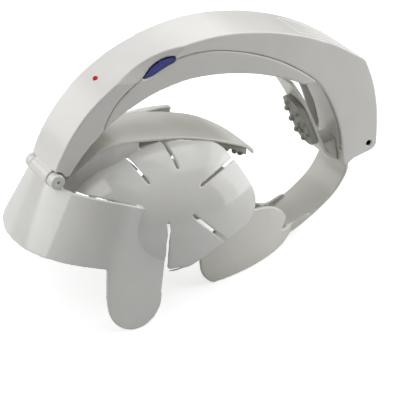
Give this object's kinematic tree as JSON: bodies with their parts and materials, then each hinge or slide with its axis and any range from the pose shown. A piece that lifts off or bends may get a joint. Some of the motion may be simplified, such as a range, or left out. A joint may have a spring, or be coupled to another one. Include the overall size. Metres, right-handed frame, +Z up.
{
  "type": "electric scalp massager",
  "caption": "Battery-powered scalp massager with a hinged petalled front claw, a housing arch with a push key and power light, and a hinged rear cradle with a padded finger",
  "frame": {"origin": "middle of the bounding box at table level, under the arch", "axes": "+X runs from the forehead band to the back of the head, +Z is up from the table, the object is symmetric about the plane Y = 0"},
  "size_m": [0.2825, 0.1304, 0.1751],
  "materials": {
    "shell_gloss": "moulded glossy warm-grey plastic",
    "inner_gloss": "moulded warm-grey plastic",
    "claw_gloss": "moulded glossy warm-grey plastic",
    "finger_plastic": "moulded warm-grey plastic",
    "pad_rubber": "soft grey rubber",
    "key_blue": "translucent blue plastic",
    "light_red": "translucent red plastic",
    "diode_red": "clear red resin",
    "black_plastic": "black plastic",
    "board_green": "circuit board with solder mask",
    "steel": "bright steel",
    "brass": "sintered brass",
    "cell_wrap": "printed-free plastic film on cells",
    "cradle_plastic": "matt grey plastic"
  },
  "bodies": {
    "arch": {"arch_outer_shell": "shell_gloss", "arch_inner_shell": "inner_gloss", "switch_body": "black_plastic", "circuit_board": "board_green", "power_light_lens": "light_red", "power_light_diode": "diode_red", "front_motor": "steel", "rear_motor": "steel", "battery_cradle": "cradle_plastic", "battery_cells": "cell_wrap", "battery_plates": "steel", "battery_springs": "steel", "charge_socket": "black_plastic", "charge_pin": "steel", "housing_screws": "steel", "rear_hinge_pin": "steel"},
    "mode_key": {"mode_key": "key_blue"},
    "switch_plunger": {"switch_plunger": "black_plastic"},
    "front_weight": {"front_motor_weight": "brass"},
    "rear_weight": {"rear_motor_weight": "brass"},
    "hatch": {"battery_hatch": "shell_gloss"},
    "front_claw": {"front_shell": "claw_gloss", "front_hinge_pin": "steel", "crown_finger": "finger_plastic", "crown_pad": "pad_rubber", "near_petal_pads": "pad_rubber", "far_petal_pads": "pad_rubber"},
    "rear_claw": {"rear_cradle": "finger_plastic", "rear_finger": "finger_plastic", "rear_pad": "pad_rubber"}
  },
  "joints": [
    {"name": "front_hinge", "type": "hinge", "parent": "arch", "child": "front_claw", "pos_m": [-0.11885, 0, 0.09423], "axis": [0, -1, 0], "range_deg": [-12, 6]},
    {"name": "rear_hinge", "type": "hinge", "parent": "arch", "child": "rear_claw", "pos_m": [0.11991, 0, 0.06355], "axis": [0, 1, 0], "range_deg": [-12, 0]},
    {"name": "key_press", "type": "slide", "parent": "arch", "child": "mode_key", "axis": [0.0239, 0.9997, 0.0022], "range_m": [0, 0.0008], "stiffness_N_per_m": 300, "springref_m": -0.001},
    {"name": "switch_press", "type": "slide", "parent": "arch", "child": "switch_plunger", "axis": [0.0239, 0.9997, 0.0022], "range_m": [0, 0.0008]},
    {"name": "front_motor_shaft", "type": "hinge", "parent": "arch", "child": "front_weight", "pos_m": [-0.08622, 0.007, 0.13616], "axis": [0, 1, 0], "continuous": true},
    {"name": "rear_motor_shaft", "type": "hinge", "parent": "arch", "child": "rear_weight", "pos_m": [0.12643, 0.007, 0.09125], "axis": [0, 1, 0], "continuous": true},
    {"name": "hatch_lift", "type": "slide", "parent": "arch", "child": "hatch", "axis": [0.4321, 0, 0.9018], "range_m": [0, 0.03]}
  ],
  "couplings": [
    {"joint": "switch_press", "follows": "key_press", "ratio": 1}
  ]
}
